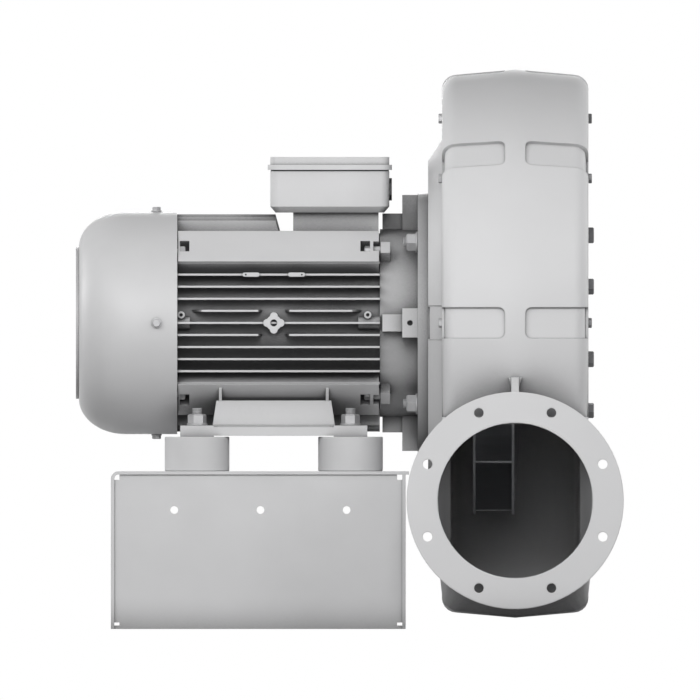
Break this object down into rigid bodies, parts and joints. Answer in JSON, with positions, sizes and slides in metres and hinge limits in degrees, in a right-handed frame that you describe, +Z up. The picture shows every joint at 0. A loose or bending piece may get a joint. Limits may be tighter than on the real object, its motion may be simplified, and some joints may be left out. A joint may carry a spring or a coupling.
{
  "type": "high-pressure blower",
  "caption": "Direct-driven high-pressure radial blower: finned motor on a buffered sheet base turns an impeller in a scroll casing with a round flanged outlet.",
  "frame": {"origin": "centre of the four floor anchor holes, on the surface that the base stands on", "axes": "+Z up, +X along the shaft from the motor to the impeller, -Y out of the outlet"},
  "size_m": [0.6355, 0.64, 0.649],
  "materials": {
    "painted_steel": "smooth light grey powder coat on folded sheet",
    "painted_casting": "fine sand-cast aluminium under light grey paint",
    "grey_rubber": "matt moulded grey rubber",
    "black_rubber": "matt",
    "zinc_plated": "bright zinc plate",
    "core_steel": "stacked laminations",
    "copper_winding": "varnished copper wire",
    "bearing_steel": "ground and polished",
    "machined_steel": "turned",
    "bare_aluminium": "spun and welded sheet, mill finish",
    "guard_steel": "punched sheet, zinc plated",
    "dark_plastic": "moulded, dark grey"
  },
  "bodies": {
    "frame": {"base_top_plate": "painted_steel", "base_end_plates": "painted_steel", "base_front_panel": "painted_steel", "base_rear_panel": "painted_steel", "rubber_buffers": "grey_rubber", "buffer_studs": "zinc_plated", "foot_nuts": "zinc_plated", "foot_washers": "zinc_plated", "buffer_base_nuts": "zinc_plated", "motor_frame": "painted_casting", "motor_feet": "painted_casting", "drive_end_shield": "painted_casting", "fan_end_shield": "painted_casting", "drive_shield_screws": "zinc_plated", "fan_shield_screws": "zinc_plated", "stator_core": "core_steel", "stator_windings": "copper_winding", "fan_cowl": "painted_steel", "cowl_screws": "zinc_plated", "nameplate_pads": "painted_casting", "terminal_box": "painted_casting", "terminal_gasket": "black_rubber", "terminal_lid": "painted_casting", "lid_screws": "zinc_plated", "terminal_board": "dark_plastic", "entry_plugs": "dark_plastic", "flange_studs": "zinc_plated", "flange_washers": "zinc_plated", "flange_nuts": "zinc_plated", "drive_bearing_outer": "bearing_steel", "fan_bearing_outer": "bearing_steel", "scroll_casing": "painted_casting", "motor_side_cover": "painted_casting", "motor_cover_screws": "zinc_plated", "shaft_seal": "black_rubber", "inlet_cover": "painted_casting", "inlet_cover_screws": "zinc_plated", "inlet_nozzle": "bare_aluminium", "inlet_guard": "guard_steel", "inlet_bolts": "zinc_plated"},
    "rotor": {"drive_bearing_inner": "bearing_steel", "drive_bearing_balls": "bearing_steel", "fan_bearing_inner": "bearing_steel", "fan_bearing_balls": "bearing_steel", "shaft": "machined_steel", "shaft_key": "machined_steel", "rotor_core": "core_steel", "cage_rings": "bare_aluminium", "cooling_fan": "dark_plastic", "impeller_hub": "machined_steel", "impeller_back_disc": "bare_aluminium", "impeller_blades": "bare_aluminium", "impeller_shroud": "bare_aluminium", "hub_rivets": "zinc_plated", "impeller_washer": "zinc_plated", "impeller_bolt": "zinc_plated"}
  },
  "joints": [
    {"name": "rotor_spin", "type": "hinge", "parent": "frame", "child": "rotor", "pos_m": [0.264, 0, 0.355], "axis": [1, 0, 0], "continuous": true}
  ]
}
